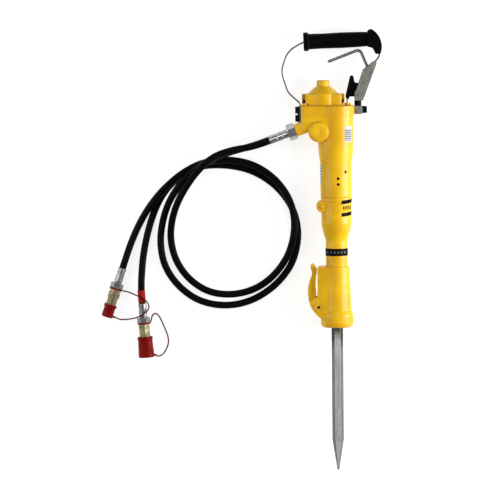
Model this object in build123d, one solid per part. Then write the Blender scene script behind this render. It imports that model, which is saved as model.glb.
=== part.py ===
"""Handheld hydraulic breaker hammer with its two hoses, laid on its back on a flat surface.

Millimetres. The tool's axis runs along Y, with the handle at +Y and the steel's point at -Y.
The origin is on the surface, at the middle of the flat pad on the back of the casting.
"""
from build123d import *
import math
import os

# Driving dimensions
AXIS_Z = 36.0             # the tool's axis above the surface that it lies on
HEAD_TOP = 33.0           # Y of the head plate's upper face
HEAD_SEAT = 12.0          # Y where the head plate meets the cylinder casting
SEAM = -169.0             # Y of the joint between cylinder casting and front body
NECK_END = -321.0         # Y where the nose housing starts
NOSE_END = -455.0         # Y of the front of the nose housing
STEEL_TOP = -268.5        # Y of the struck end of the steel
STEEL_TAPER = -704.0      # Y where the point starts to taper
STEEL_TIP = -773.0        # Y of the point
BARREL_R = 39.5           # cylinder casting beside the valve block
WAIST_R = 34.5            # cylinder casting at the seam
NECK_R = 24.0             # front body's neck
BORE_R = 25.0             # piston bore
STEEL_AF = 22.0           # hexagon steel across its flats
ACC_X = -27.0             # X of the accumulator's axis
SPOOL_X = 27.0            # X of the trigger valve's axis
PORT_Z = (53.0, 19.0)     # heights of the two hose ports
PORT_ANGLE = 20.4         # degrees that the fittings point below -X
HOSE_R = 7.7              # hose
LANYARD_R = 1.5           # dust cap lanyards
FIT = 0.05                # radial clearance of a running fit
GAP = 0.3                 # clearance between parts that only pass each other

# Pivots in the XY plane
TRIGGER_PIVOT = (70.5, 111.0)
ROCKER_PIVOT = (48.0, 58.0)
LATCH_PIVOT = (-41.0, -410.0)

START = (Align.CENTER, Align.CENTER, Align.MIN)


def save(shape, name):
    """Write one sub-part under its node name."""
    export_step(shape, f"parts/{name}.step")


def block(x_range, y_range, z_range):
    """Box between two values on each axis."""
    size = [high - low for low, high in (x_range, y_range, z_range)]
    centre = [(high + low) / 2 for low, high in (x_range, y_range, z_range)]
    return Pos(*centre) * Box(*size)


def rod(start, direction, radius, begin, end):
    """Cylinder along a direction, between two distances from its start."""
    plane = Plane(origin=start, z_dir=direction)
    return plane * Pos(0, 0, begin) * Cylinder(radius, end - begin, align=START)


def y_rod(radius, low, high, x=0.0, z=AXIS_Z):
    """Cylinder along Y."""
    return rod((x, 0, z), (0, 1, 0), radius, low, high)


def y_ring(inner, outer, low, high):
    """Ring about the tool's axis."""
    return y_rod(outer, low, high) - y_rod(inner, low - 1, high + 1)


def z_rod(radius, low, high, x, y):
    """Cylinder along Z."""
    return Pos(x, y, low) * Cylinder(radius, high - low, align=START)


def y_turned(outline, x=0.0, z=AXIS_Z):
    """Turned part about an axis along Y, from points of (radius, y)."""
    face = make_face(Polyline(*outline, close=True))
    return Pos(x, 0, z) * revolve(face, Axis.Y, 360)


def turned(start, direction, outline):
    """Turned part about a direction, from points of (radius, distance from the start)."""
    face = make_face(Polyline(*[(radius, 0, along) for radius, along in outline], close=True))
    return Plane(origin=start, z_dir=direction) * revolve(face, Axis.Z, 360)


def hexagon(start, direction, across_flats, begin, end):
    """Hexagonal bar along a direction that lies flat, with a flat on top."""
    plane = Plane(origin=start, x_dir=(0, 0, 1), z_dir=direction)
    sides = RegularPolygon(across_flats / 2, 6, major_radius=False, rotation=30)
    return plane * Pos(0, 0, begin) * extrude(sides, end - begin)


def plate(outline, z_range):
    """Flat plate cut to an outline in the XY plane."""
    low, high = z_range
    return Pos(0, 0, low) * extrude(make_face(Polyline(*outline, close=True)), high - low)


def middle_band(half):
    """Heights of something that is centred on the tool's axis."""
    return (AXIS_Z - half, AXIS_Z + half)


# ---------------------------------------------------------------- powerhead castings

PLUG_X, PLUG_Y = -37.6, -22.5
PORT_DIR = (-math.cos(math.radians(PORT_ANGLE)), -math.sin(math.radians(PORT_ANGLE)), 0.0)
PORT_FACE = (-87.8, -21.1)
BLOCK_TOP = 72.0
PISTON_TOP_ROOM = -24.0   # Y of the closed end of the piston bore
SPIGOT_R = 28.0
SPOOL_R = 6.0
LEAF_FACE = -76.0         # X of the side that the leaf spring is clamped to
LEAF_BOLT_Y = (23.0, 5.0)
LEAF_BOLT_R = 4.0
GAUGE_PLUG_X = 3.5
GAUGE_PLUG_Y = (-126.0, -139.0)
GAUGE_PLUG_R = 3.2
PLUG_SEAT = 58.0          # height of the round plug's inner end


def cylinder_body():
    """Casting with the valve block, the round plug's boss, the hose ports and the barrel."""
    barrel = y_turned([(0, HEAD_SEAT), (BARREL_R, HEAD_SEAT), (BARREL_R, -48), (37.5, -72),
                       (WAIST_R, -97), (WAIST_R, SEAM + 3), (WAIST_R - 1, SEAM), (0, SEAM)])
    side = block((LEAF_FACE, 0), (-20, HEAD_SEAT), (0, BLOCK_TOP))
    side = fillet(side.edges().filter_by(Axis.Y), 6)
    boss = z_rod(23.5, 0, BLOCK_TOP + 2, PLUG_X, PLUG_Y)
    boss = chamfer(boss.edges().filter_by(GeomType.CIRCLE), 2)
    pad = fillet(block((-34, 34), (-50, HEAD_SEAT), (0, 14)).edges().filter_by(Axis.Z)[:2], 4)
    rib = block((-14, 3), (-44, HEAD_SEAT), (AXIS_Z, AXIS_Z + 37))
    rib = fillet(rib.edges().filter_by(Axis.Y).group_by(Axis.Z)[-1], 6)
    face = Plane(origin=(*PORT_FACE, 0), x_dir=(0, 0, 1), z_dir=PORT_DIR)
    port_block = face * Pos(AXIS_Z, 0, -22) * Box(68, 25, 44)
    port_block = fillet(port_block.edges().filter_by(Axis(origin=(0, 0, 0), direction=PORT_DIR)), 5)
    body = barrel + side + boss + pad + rib + port_block
    body -= block((-200, 200), (-300, 100), (-20, 0))
    body -= y_rod(BORE_R, SEAM - 1, PISTON_TOP_ROOM)
    body -= y_rod(SPIGOT_R, SEAM - 1, SEAM + 19)
    body -= y_rod(SPOOL_R + FIT, -20, HEAD_SEAT + 1, SPOOL_X)
    body -= z_rod(16, BLOCK_TOP - 16, BLOCK_TOP + 3, PLUG_X, PLUG_Y)
    body -= z_rod(7, 12, BLOCK_TOP, PLUG_X, PLUG_Y)
    body -= rod((PLUG_X, -5, AXIS_Z), (1, 0, 0), 5, 0, SPOOL_X - PLUG_X)
    body -= y_rod(3, -30, -5, 8)
    for height in PORT_Z:
        port = (*PORT_FACE, height)
        body -= rod(port, PORT_DIR, 8, -16, 1)
        body -= rod(port, PORT_DIR, 6, -52, 1)
    for y in GAUGE_PLUG_Y:
        body -= z_rod(GAUGE_PLUG_R, AXIS_Z + BORE_R + 2, AXIS_Z + 60, GAUGE_PLUG_X, y)
    for y in LEAF_BOLT_Y[1:]:
        body -= rod((LEAF_FACE, y, AXIS_Z), (1, 0, 0), LEAF_BOLT_R, -1, 16)
    return body


def gauge_plugs():
    """Two small socket plugs in the barrel."""
    plugs = []
    for y in GAUGE_PLUG_Y:
        plug = z_rod(GAUGE_PLUG_R, AXIS_Z + BORE_R + 2, AXIS_Z + WAIST_R - 1, GAUGE_PLUG_X, y)
        top = Plane(origin=(GAUGE_PLUG_X, y, AXIS_Z + WAIST_R - 3))
        plug -= top * extrude(RegularPolygon(1.6, 6, major_radius=False), 5)
        plugs.append(plug)
    return Compound(children=plugs)


HEAD_X = (LEAF_FACE, 41.2)
SPOOL_BOSS_TOP = 38.0
ACC_BOLTS = [(ACC_X + sx * 40, AXIS_Z + sz * 21) for sx in (-1, 1) for sz in (-1, 1)]


def head_plate():
    """Plate that closes the casting and carries the accumulator and the handle."""
    flat = block((HEAD_X[0], 0), (HEAD_SEAT, HEAD_TOP), (0, BLOCK_TOP))
    body = fillet(flat.edges().filter_by(Axis.Y), 6) + y_rod(HEAD_X[1], HEAD_SEAT, HEAD_TOP)
    body += block((20, HEAD_X[1]), (HEAD_SEAT, HEAD_TOP), middle_band(14))
    body &= block((-100, 100), (HEAD_SEAT, HEAD_TOP), (0, 100))
    body = chamfer(body.edges().group_by(Axis.Y)[-1], 1.5)
    body += y_rod(6.8, HEAD_TOP - 1, SPOOL_BOSS_TOP, SPOOL_X)
    body -= y_rod(SPOOL_R + FIT, HEAD_SEAT - 1, 30, SPOOL_X)
    body -= y_rod(3.5 + FIT, 29, SPOOL_BOSS_TOP + 1, SPOOL_X)
    for x, z in ACC_BOLTS:
        body -= y_rod(3, HEAD_SEAT + 5, HEAD_TOP + 1, x, z)
    body -= rod((LEAF_FACE, LEAF_BOLT_Y[0], AXIS_Z), (1, 0, 0), LEAF_BOLT_R, -1, 16)
    body -= rod((HEAD_X[1], 23, AXIS_Z), (-1, 0, 0), 5, -1, 8)
    return body


ACC_RING_TOP = 58.5
KNOB_SEAT = 75.0


def accumulator_cap():
    """Domed cap on a block with two ears and four bolt holes."""
    seat = Plane(origin=(ACC_X, HEAD_TOP, AXIS_Z), x_dir=(1, 0, 0), z_dir=(0, 1, 0))
    ears = seat * extrude(RectangleRounded(93, 58, 14), ACC_RING_TOP - HEAD_TOP)
    ears = fillet(ears.edges().group_by(Axis.Y)[-1], 2.5)
    dome = y_turned([(0, 34), (33.5, 34), (33.5, ACC_RING_TOP), (30, 62.5), (25.7, 66.3), (21.3, 70.4),
                     (18, 72.8), (14.5, KNOB_SEAT), (0, KNOB_SEAT)], ACC_X)
    cap = ears + dome
    cap -= y_turned([(0, 32), (25, 32), (25, 52), (18, 62), (0, 65)], ACC_X)
    cap -= y_rod(5, 60, KNOB_SEAT + 1, ACC_X)
    for x, z in ACC_BOLTS:
        cap -= y_rod(3.4, HEAD_TOP - 1, HEAD_TOP + 14, x, z)
        cap -= y_rod(6.2, HEAD_TOP + 6, HEAD_TOP + 30, x, z)
    for x in (ACC_X - 33, ACC_X + 41):
        cap -= z_rod(1.8, AXIS_Z + 18, AXIS_Z + 40, x, HEAD_TOP + 3.5)
    return cap


def accumulator_bolts():
    """Socket screws that hold the accumulator cap to the head plate."""
    bolts = []
    for x, z in ACC_BOLTS:
        bolt = y_rod(3, HEAD_SEAT + 6, HEAD_TOP + 6, x, z)
        bolt += y_rod(5.5, HEAD_TOP + 6, HEAD_TOP + 13, x, z)
        top = Plane(origin=(x, HEAD_TOP + 9, z), z_dir=(0, 1, 0))
        bolt -= top * extrude(RegularPolygon(2.5, 6, major_radius=False), 5)
        bolts.append(bolt)
    return Compound(children=bolts)


def accumulator_knob():
    """Fluted cover of the gas filling valve."""
    knob = y_turned([(0, KNOB_SEAT - 9), (4.8, KNOB_SEAT - 9), (4.8, KNOB_SEAT), (14.2, KNOB_SEAT),
                     (14.2, 86), (12.5, 88), (0, 88)], ACC_X)
    for turn in range(12):
        angle = math.radians(30 * turn + 15)
        knob -= y_rod(1.6, KNOB_SEAT + 2, 90, ACC_X + 15 * math.cos(angle), AXIS_Z + 15 * math.sin(angle))
    return knob


def accumulator_diaphragm():
    """Rubber cup that parts the gas from the oil."""
    return y_turned([(0, 52), (15, 50), (22, 44), (24.8, 37), (24.8, HEAD_TOP), (21, HEAD_TOP),
                     (19, 42), (13, 46.5), (0, 48)], ACC_X)


def side_plug():
    """Large round screw plug in the face of the valve block."""
    outline = [(0, PLUG_SEAT), (16, PLUG_SEAT), (16, BLOCK_TOP + 2), (20.5, BLOCK_TOP + 2),
               (20.5, BLOCK_TOP + 6), (18.5, BLOCK_TOP + 8), (14, BLOCK_TOP + 8),
               (12.5, BLOCK_TOP + 6.5), (0, BLOCK_TOP + 6.5)]
    plug = turned((PLUG_X, PLUG_Y, 0), (0, 0, 1), outline)
    socket = Plane(origin=(PLUG_X, PLUG_Y, BLOCK_TOP + 2))
    return plug - socket * extrude(RegularPolygon(5, 6, major_radius=False), 10)


def plug_seal():
    """O-ring under the round plug."""
    ring = revolve(Plane.XZ * Pos(12.5, 0) * Circle(1.4), Axis.Z, 360)
    return Pos(PLUG_X, PLUG_Y, PLUG_SEAT - 1.4) * ring


def cut_plug_seal_seat(body):
    """Room for the O-ring below the round plug."""
    return body - z_rod(14, PLUG_SEAT - 3, PLUG_SEAT, PLUG_X, PLUG_Y)


# ---------------------------------------------------------------- front body and percussion parts

LUG = (-31.0, -188.0)


def front_body():
    """Lower casting from the seam to the end of the neck, with a cast lug."""
    body = y_turned([(0, SEAM + 19), (SPIGOT_R, SEAM + 19), (SPIGOT_R, SEAM), (34, SEAM - 0.01), (34, -176),
                     (33, -180), (33, -227), (31.3, -238), (25.3, -259), (NECK_R, -265), (NECK_R, NECK_END),
                     (21, NECK_END), (21, NECK_END - 17), (0, NECK_END - 17)])
    lug = z_rod(13, AXIS_Z - 15, AXIS_Z + 24, *LUG)
    body += fillet(lug.edges().filter_by(GeomType.CIRCLE), 3)
    body -= y_rod(BORE_R, -180, SEAM + 20)
    body -= y_rod(21, -236, -179)
    body -= y_rod(15.5, -300, -235)
    body -= y_rod(18, NECK_END - 18, -275)
    body -= z_rod(3, AXIS_Z + 14, AXIS_Z + 30, *LUG)
    return body


def lug_screw():
    """Button screw in the cast lug."""
    top = AXIS_Z + 24
    head = z_rod(5, top, top + 3, *LUG)
    return z_rod(3, AXIS_Z + 14, top, *LUG) + fillet(head.edges().group_by(Axis.Z)[-1], 2)


def neck_band():
    """Marking band round the neck."""
    return y_rod(NECK_R + 0.7, -297, -281) - y_rod(NECK_R, -298, -280)


def piston_guide():
    """Bronze guide bush for the piston's striker."""
    return y_rod(21, -236, -180) - y_rod(15 + FIT, -237, -179)


def upper_bushing():
    """Pressed bush with the hexagonal hole that guides the steel."""
    bush = y_rod(18, -350, -275)
    return bush - hexagon((0, 0, AXIS_Z), (0, -1, 0), STEEL_AF + 0.4, 274, 351)


def piston():
    """Percussion piston with its seal grooves, resting on the steel."""
    outline = [(0, -60), (15.5, -60), (17, -62), (17, -125), (BORE_R - FIT, -125)]
    for y in (-133, -155):
        outline += [(BORE_R - FIT, y), (22.5, y), (22.5, y - 3), (BORE_R - FIT, y - 3)]
    outline += [(BORE_R - FIT, -165), (15, -165), (15, -266), (13.5, -268), (0, -268)]
    return y_turned(outline)


def piston_seals():
    """Two seal rings on the piston's land."""
    rings = [y_rod(BORE_R - 0.04, y - 3, y) - y_rod(22.5, y - 4, y + 1) for y in (-133, -155)]
    return Compound(children=rings)


def distributor_spool():
    """Sleeve valve that runs on the piston's stem."""
    sleeve = y_rod(BORE_R - FIT, -90, -64) - y_rod(17 + FIT, -91, -63)
    return sleeve - y_ring(BORE_R - 3, BORE_R + 1, -80, -74)


COLLAR_TOP = -351.0
COLLAR_R = 19.0


def moil_point():
    """Hexagonal steel with its collar and pyramid point."""
    start = (0, 0, AXIS_Z)
    shank = hexagon(start, (0, -1, 0), STEEL_AF, -STEEL_TOP, -STEEL_TAPER)
    collar = y_turned([(0, COLLAR_TOP), (COLLAR_R, COLLAR_TOP), (COLLAR_R, -361), (17, -363), (0, -363)])
    plane = Plane(origin=start, x_dir=(0, 0, 1), z_dir=(0, -1, 0))
    sections = [plane * Pos(0, 0, -y) * RegularPolygon(inscribed, 6, major_radius=False, rotation=30)
                for y, inscribed in ((STEEL_TAPER, STEEL_AF / 2), (STEEL_TIP, 1.6))]
    return shank + collar + loft(sections)


# ---------------------------------------------------------------- nose and retainer

LATCH_HALF = 8.0          # half thickness of the latch
HOOK_R = 35.75            # the hook's end face, about the latch pin
CHAMBER_R = 20.5
FLANK_X = -42.5           # flat face of the housing behind the latch lever
PIVOT_BOSS_R = 10.5
PIVOT_BOSS_HALF = 20.5
LATCH_PIN_R = 3.5


def nose_housing():
    """Nose with the steel's chamber, the flared front and two cheeks for the latch."""
    nose = y_turned([(0, NECK_END), (27, NECK_END), (28.5, NECK_END - 1.5), (29, -345), (31, -400),
                     (32, -418), (35, -426), (36, -432), (36, -446), (34.5, -452),
                     (31, NOSE_END), (0, NOSE_END)])
    corners = [Circle(4).moved(Pos(-56, 13 * side)) for side in (-1, 1)]
    section = make_hull([edge for circle in (Circle(28), *corners) for edge in circle.edges()])
    slab = Plane(origin=(0, NECK_END, AXIS_Z), x_dir=(1, 0, 0), z_dir=(0, -1, 0)) * extrude(section, 122)
    flank = Polyline((0, NECK_END), (-38, NECK_END), (FLANK_X, NECK_END - 4), (FLANK_X, -387), (-52, -391.5),
                     (-59, -398), (-60.5, -404), (-57.6, -410), (-49, -423), (-40, -432), (-28, -441),
                     (0, -441), close=True)
    nose += slab & extrude(make_face(flank), 80)
    nose += z_rod(PIVOT_BOSS_R, *middle_band(PIVOT_BOSS_HALF), *LATCH_PIVOT)
    nose -= y_rod(21, NECK_END - 17, NECK_END + 1)
    nose -= y_rod(18, -350, NECK_END)
    nose -= y_rod(CHAMBER_R, NOSE_END - 1, -350)
    nose -= y_rod(26, NOSE_END - 1, -428)
    slot = z_rod(HOOK_R + 0.7, *middle_band(LATCH_HALF + GAP), *LATCH_PIVOT)
    nose -= slot & block((-90, 0), (LATCH_PIVOT[1] - 16, -360), (0, 80))
    nose -= z_rod(LATCH_PIN_R, 0, 80, *LATCH_PIVOT)
    for turn in range(12):
        angle = math.radians(30 * turn)
        x = LATCH_PIVOT[0] + 8 * math.cos(angle)
        y = LATCH_PIVOT[1] + 8 * math.sin(angle)
        nose -= z_rod(0.9, AXIS_Z + PIVOT_BOSS_HALF - 1, 80, x, y)
    return nose


def front_ring():
    """Replaceable wear ring in the mouth of the nose."""
    return y_rod(26, NOSE_END, -428) - y_rod(20.2, NOSE_END - 1, -427)


def retainer_latch():
    """Latch lever whose hook stops the steel's collar."""
    outer = Spline((-51, -315.3), (-56, -316.6), (-58, -321.5), (-54.8, -334), (-59.2, -350), (-63.3, -368),
                   (-63.9, -380), (-60.5, -402))
    inner = Polyline((-60.5, -402), (-49, -400), (-46, -386), (-45.8, -377), (-47.2, -364), (-46.4, -346),
                     (-44.1, -333), (-44, -325.5), (-51, -315.3))
    arm = Polyline((-60.5, -402), (-57, -409), (-49, -421), (-41, -401), (-48, -388), close=True)
    sector = Polyline((-14.5, -380), (-14.5, -388), (-36, -417), (-47, -404), (-33, -378), (-22, -370),
                      close=True)
    hook = Pos(*LATCH_PIVOT) * Circle(HOOK_R) & make_face(sector)
    hub = Pos(*LATCH_PIVOT) * Circle(8.5)
    latch = extrude(make_face(outer + inner), 2 * LATCH_HALF)
    for profile in (make_face(arm), hook, hub):
        latch += extrude(profile, 2 * LATCH_HALF)
    latch = Pos(0, 0, AXIS_Z - LATCH_HALF) * latch
    return latch - z_rod(LATCH_PIN_R + FIT, 0, 80, *LATCH_PIVOT)


def latch_pin():
    """Spring pin that the latch turns on."""
    pin = z_rod(LATCH_PIN_R, *middle_band(PIVOT_BOSS_HALF - 3), *LATCH_PIVOT)
    return pin - z_rod(1.6, 0, 80, *LATCH_PIVOT)


# ---------------------------------------------------------------- handle

GRIP_R = 16.5
GRIP_SLOPE = 2.0          # degrees that the grip rises towards +X
GRIP_MIDDLE = (13.0, 175.0)
LEAF_WIDTH = 26.0
LEAF_THICK = 3.0
WEB_FOOT = (62.6, 50.0)
WEB_TOP = (90.3, 123.9)
WEB_THICK = 3.0
CHEEK_INNER = 13.3
CHEEK_OUTER = 16.3
FOOT_X = 49.0             # X of the stud under the bracket
FOOT_END = 58.2           # X of the foot's outer face
TOE = (54.5, 77.5)        # end of the trigger's lower arm
TRIGGER_PIN_R = 4.0
ROCKER_PIN_R = 3.5


def web_point(depth, run):
    """Point beside the bracket's right side: a depth inside its outer face, a distance up from its foot."""
    dx, dy = WEB_TOP[0] - WEB_FOOT[0], WEB_TOP[1] - WEB_FOOT[1]
    length = math.hypot(dx, dy)
    along = (dx / length, dy / length)
    return (WEB_FOOT[0] - along[1] * depth + along[0] * run, WEB_FOOT[1] + along[0] * depth + along[1] * run)


LEAF_DEPTH = WEB_THICK + LEAF_THICK / 2
LEAF_ROUTE = [(-77.5, -2), (-77.5, 38), (-104, 62), (-119, 108), (-104, 152), (-70, 172), (13, 175),
              (99, 179), (97, 140), web_point(LEAF_DEPTH, 80), web_point(LEAF_DEPTH, 60)]
LEAF_RADII = [12, 30, 45, 45, 40, 300, 11, 20, 12]


def leaf_spring():
    """Bent spring strip from the head, round the C and through the grip to the bracket."""
    route = FilletPolyline(*LEAF_ROUTE, radius=LEAF_RADII)
    strip = extrude(trace(route, LEAF_THICK), LEAF_WIDTH)
    return Pos(0, 0, AXIS_Z - LEAF_WIDTH / 2) * strip


def grip(leaf):
    """Moulded rubber grip with an end flange on the left and a hand guard on the right."""
    frame = Plane(origin=(*GRIP_MIDDLE, AXIS_Z),
                  z_dir=(math.cos(math.radians(GRIP_SLOPE)), math.sin(math.radians(GRIP_SLOPE)), 0))
    outline = [(0, -82), (19.5, -82), (20.5, -80), (20.5, -73), (18, -71), (17, -69), (GRIP_R, -40),
               (GRIP_R + 0.7, 0), (GRIP_R, 40), (15.5, 62), (0, 62)]
    sleeve = frame * revolve(make_face(Polyline(*[(r, 0, s) for r, s in outline], close=True)), Axis.Z, 360)
    edge = Spline((79.5, 199), (91, 190), (102, 160), (99, 145))
    back = Polyline((99, 145), (88.5, 144.5), (82, 157.5), (70, 161), (69, 190), (73, 197), (79.5, 199))
    guard = Pos(0, 0, AXIS_Z - 18) * extrude(make_face(edge + back), 36)
    guard = fillet(guard.edges().filter_by(Axis.Z), 2)
    guard = fillet(guard.edges().group_by(Axis.Z)[0] + guard.edges().group_by(Axis.Z)[-1], 1.8)
    return sleeve + guard - leaf


def bracket_plate_outline():
    """Outline of one cheek of the handle bracket."""
    return [(68.7, 115.9), (75.4, 122), (81, 127), (86, 128.5), (90.3, 127), WEB_TOP, WEB_FOOT, (59.5, 43.5),
            (41.5, 43.5), (41.5, 62), (45.5, 66), (53, 87.5), (60, 108.5), (62.5, 112)]


def handle_bracket():
    """Channel bracket: two cheeks, a web along the right side and a base plate."""
    outline = bracket_plate_outline()
    bracket = plate(outline, (AXIS_Z + CHEEK_INNER, AXIS_Z + CHEEK_OUTER))
    bracket += plate(outline, (AXIS_Z - CHEEK_OUTER, AXIS_Z - CHEEK_INNER))
    web = [web_point(0, 0), web_point(0, 76), web_point(WEB_THICK, 76), web_point(WEB_THICK, 0)]
    bracket += plate(web, middle_band(CHEEK_OUTER))
    bracket += block((41.5, 61), (43.5, 46.5), middle_band(CHEEK_OUTER))
    for pivot, radius in ((TRIGGER_PIVOT, TRIGGER_PIN_R), (ROCKER_PIVOT, ROCKER_PIN_R)):
        bracket -= z_rod(radius, 0, 80, *pivot)
    bracket -= y_rod(4.4, 40, 50, FOOT_X)
    return bracket


def bracket_foot():
    """Steel block on the side of the head plate that carries the bracket's stud."""
    foot = block((HEAD_X[1], FOOT_END), (13.5, 31.5), middle_band(12))
    foot = chamfer(foot.edges().filter_by(Axis.Z), 2)
    foot -= rod((HEAD_X[1], 23, AXIS_Z), (1, 0, 0), 5, -1, 30)
    return foot


def bracket_isolator():
    """Rubber washer stack between foot and bracket."""
    return y_rod(7.7, 31.5, 43.5, FOOT_X) - y_rod(4.4, 30, 45, FOOT_X)


def bracket_stud():
    """Stud and nut that clamp the bracket to its foot."""
    stud = y_rod(4.4, 31.5, 49, FOOT_X)
    return stud + hexagon((FOOT_X, 46.5, AXIS_Z), (0, 1, 0), 13, 0, 3)


def foot_bolt():
    """Large bolt that holds the foot to the head plate."""
    seat = (FOOT_END, 23, AXIS_Z)
    bolt = rod(seat, (-1, 0, 0), 5, 0, 24) + rod(seat, (1, 0, 0), 8.5, 0, 2.5)
    head = Plane(origin=seat, x_dir=(0, 0, 1), z_dir=(1, 0, 0)) * Pos(0, 0, 2.5)
    return bolt + head * extrude(RegularPolygon(7.5, 6, major_radius=False), 8)


def trigger_lever():
    """Bent rod lever with a hub and a short lower arm that ends in a round toe."""
    route = FilletPolyline((-13.5, 129), (54, 154.6), (70, 117), radius=9)
    bar = sweep(Plane(origin=route @ 0, z_dir=route % 0) * Circle(3.3), path=route)
    ball = Pos(-13.5, 129, 0) * Sphere(3.3)
    hub = Pos(*TRIGGER_PIVOT, -9) * Cylinder(6.8, 18, align=START)
    arm = make_hull([*Circle(6.5).moved(Pos(*TRIGGER_PIVOT)).edges(), *Circle(4.3).moved(Pos(*TOE)).edges()])
    lever = bar + ball + hub + Pos(0, 0, -6) * extrude(arm, 12)
    return Pos(0, 0, AXIS_Z) * lever - z_rod(TRIGGER_PIN_R + FIT, 0, 80, *TRIGGER_PIVOT)


def trigger_pin():
    """Headed pin of the trigger lever."""
    pin = z_rod(TRIGGER_PIN_R, *middle_band(CHEEK_OUTER), *TRIGGER_PIVOT)
    for low in (AXIS_Z - CHEEK_OUTER - 1.5, AXIS_Z + CHEEK_OUTER):
        pin += z_rod(4.9, low, low + 1.5, *TRIGGER_PIVOT)
    return pin


def valve_rocker():
    """Rocker that the trigger's toe pushes and that presses the valve pin down."""
    outline = Polyline((31.8, 94.5), (40.2, 93), (41.6, 84.8), (43.8, 82), (49.6, 81.2), (49.6, 72),
                       (53.5, 60), (48, 52.5), (30.5, 51.5), (26.5, 47), (22.5, 50), (22.4, 55), close=True)
    tip = Pos(36, 93.8) * Circle(4.2)
    toe = Pos(26.5, 50.5) * Circle(4)
    hub = Pos(*ROCKER_PIVOT) * Circle(6)
    shape = extrude(make_face(outline) + tip + toe + hub, 14)
    return Pos(0, 0, AXIS_Z - 7) * shape - z_rod(ROCKER_PIN_R + FIT, 0, 80, *ROCKER_PIVOT)


def rocker_pin():
    """Pin of the valve rocker, with a nut on its front end."""
    pin = z_rod(ROCKER_PIN_R, *middle_band(CHEEK_OUTER), *ROCKER_PIVOT)
    pin += z_rod(5, AXIS_Z - CHEEK_OUTER - 2, AXIS_Z - CHEEK_OUTER, *ROCKER_PIVOT)
    nut = Pos(*ROCKER_PIVOT, AXIS_Z + CHEEK_OUTER) * extrude(RegularPolygon(5, 6, major_radius=False), 4)
    return pin + nut


def trigger_spool():
    """Trigger valve spool with the pin that the rocker presses."""
    outline = [(0, -10), (SPOOL_R, -10), (SPOOL_R, -1), (4, 0), (4, 9), (SPOOL_R, 10), (SPOOL_R, 26),
               (3.5, 27), (3.5, 45.5), (2.8, 46), (0, 46)]
    return y_turned(outline, SPOOL_X) - y_rod(3, -11, 6, SPOOL_X)


def spool_spring():
    """Return spring of the trigger valve, one coil standing in the spool's hollow."""
    helix = Helix(pitch=3, height=15, radius=2.2)
    wire = sweep(Plane(origin=helix @ 0, z_dir=helix % 0) * Circle(0.5), path=helix)
    return Plane(origin=(SPOOL_X, -19.4, AXIS_Z), z_dir=(0, 1, 0)) * wire


def leaf_clamp():
    """Steel strap over the clamped end of the leaf spring."""
    strap = block((LEAF_FACE - 7, LEAF_FACE - 3), (-3, 31), middle_band(12))
    for y in LEAF_BOLT_Y:
        strap -= rod((LEAF_FACE, y, AXIS_Z), (1, 0, 0), LEAF_BOLT_R, -20, 5)
    return strap


def leaf_bolts():
    """Two hexagon bolts of the leaf spring."""
    bolts = []
    for y in LEAF_BOLT_Y:
        start = (LEAF_FACE - 7, y, AXIS_Z)
        bolts.append(rod(start, (1, 0, 0), LEAF_BOLT_R, 0, 20) + hexagon(start, (-1, 0, 0), 13, 0, 5.5))
    return Compound(children=bolts)


def cut_leaf_holes(leaf):
    """Bolt holes at the clamped end of the leaf spring."""
    for y in LEAF_BOLT_Y:
        leaf -= rod((LEAF_FACE, y, AXIS_Z), (1, 0, 0), LEAF_BOLT_R, -10, 5)
    return leaf


# ---------------------------------------------------------------- hoses and couplings

HOSE_EXIT = 61.0          # from the port face to the end of the hose ferrule


def port_point(distance, height):
    """Point on a port's axis, a distance out from the casting."""
    return (PORT_FACE[0] + PORT_DIR[0] * distance, PORT_FACE[1] + PORT_DIR[1] * distance, height)


def port_adapters():
    """Threaded nipples between the casting and the hose nuts."""
    nipples = []
    for height in PORT_Z:
        port = (*PORT_FACE, height)
        nipples.append(rod(port, PORT_DIR, 8, -16, 10) - rod(port, PORT_DIR, 4.5, -17, 11))
    return Compound(children=nipples)


def tool_end_nuts():
    """Swivel nuts on the nipples."""
    nuts = []
    for height in PORT_Z:
        port = (*PORT_FACE, height)
        dressed = turned(port, PORT_DIR, [(0, 0), (15, 0), (18, 2), (18, 15), (15.5, 18), (0, 18)])
        nut = hexagon(port, PORT_DIR, 30, 0, 18) & dressed
        nuts.append(nut - rod(port, PORT_DIR, 8, -1, 10) - rod(port, PORT_DIR, 6.5, 9, 19))
    return Compound(children=nuts)


def tool_end_ferrules():
    """Crimped ferrules at the tool's end of the hoses."""
    ferrules = []
    for height in PORT_Z:
        outline = [(0, 10), (6.5, 10), (6.5, 18), (8.3, 18), (8.8, 19), (8.8, 27), (8, 28), (8, 30),
                   (8.8, 31), (8.8, 40), (8, 41), (8, 43), (8.8, 44), (8.8, HOSE_EXIT - 1), (8.3, HOSE_EXIT),
                   (0, HOSE_EXIT)]
        ferrules.append(turned((*PORT_FACE, height), PORT_DIR, outline))
    return Compound(children=ferrules)


COUPLING_A = (-471.9, -323.0, 15.8)
DIR_A = (-0.3190, -0.9478, 0.0)
COUPLING_B = (-429.4, -401.0, 18.2)
DIR_B = (0.0698, -0.9976, 0.0)
FLOOR_HOSE = HOSE_R + 0.1 # height of a hose that lies on the surface
SLEEVE_SEAT_R = 10.4
NOSE_R = 9.5              # plug half's nose under its cap
TAIL_LENGTH = 11.0        # tapered tail of a dust cap
TAIL_DROP = 4.0           # how far a tail lies under its coupling's axis


def on_coupling(start, direction, along, right, height):
    """Point beside a coupling: along it, to its right in plan, and at a height."""
    side = (-direction[1], direction[0])
    return (start[0] + direction[0] * along + side[0] * right,
            start[1] + direction[1] * along + side[1] * right, height)


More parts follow.
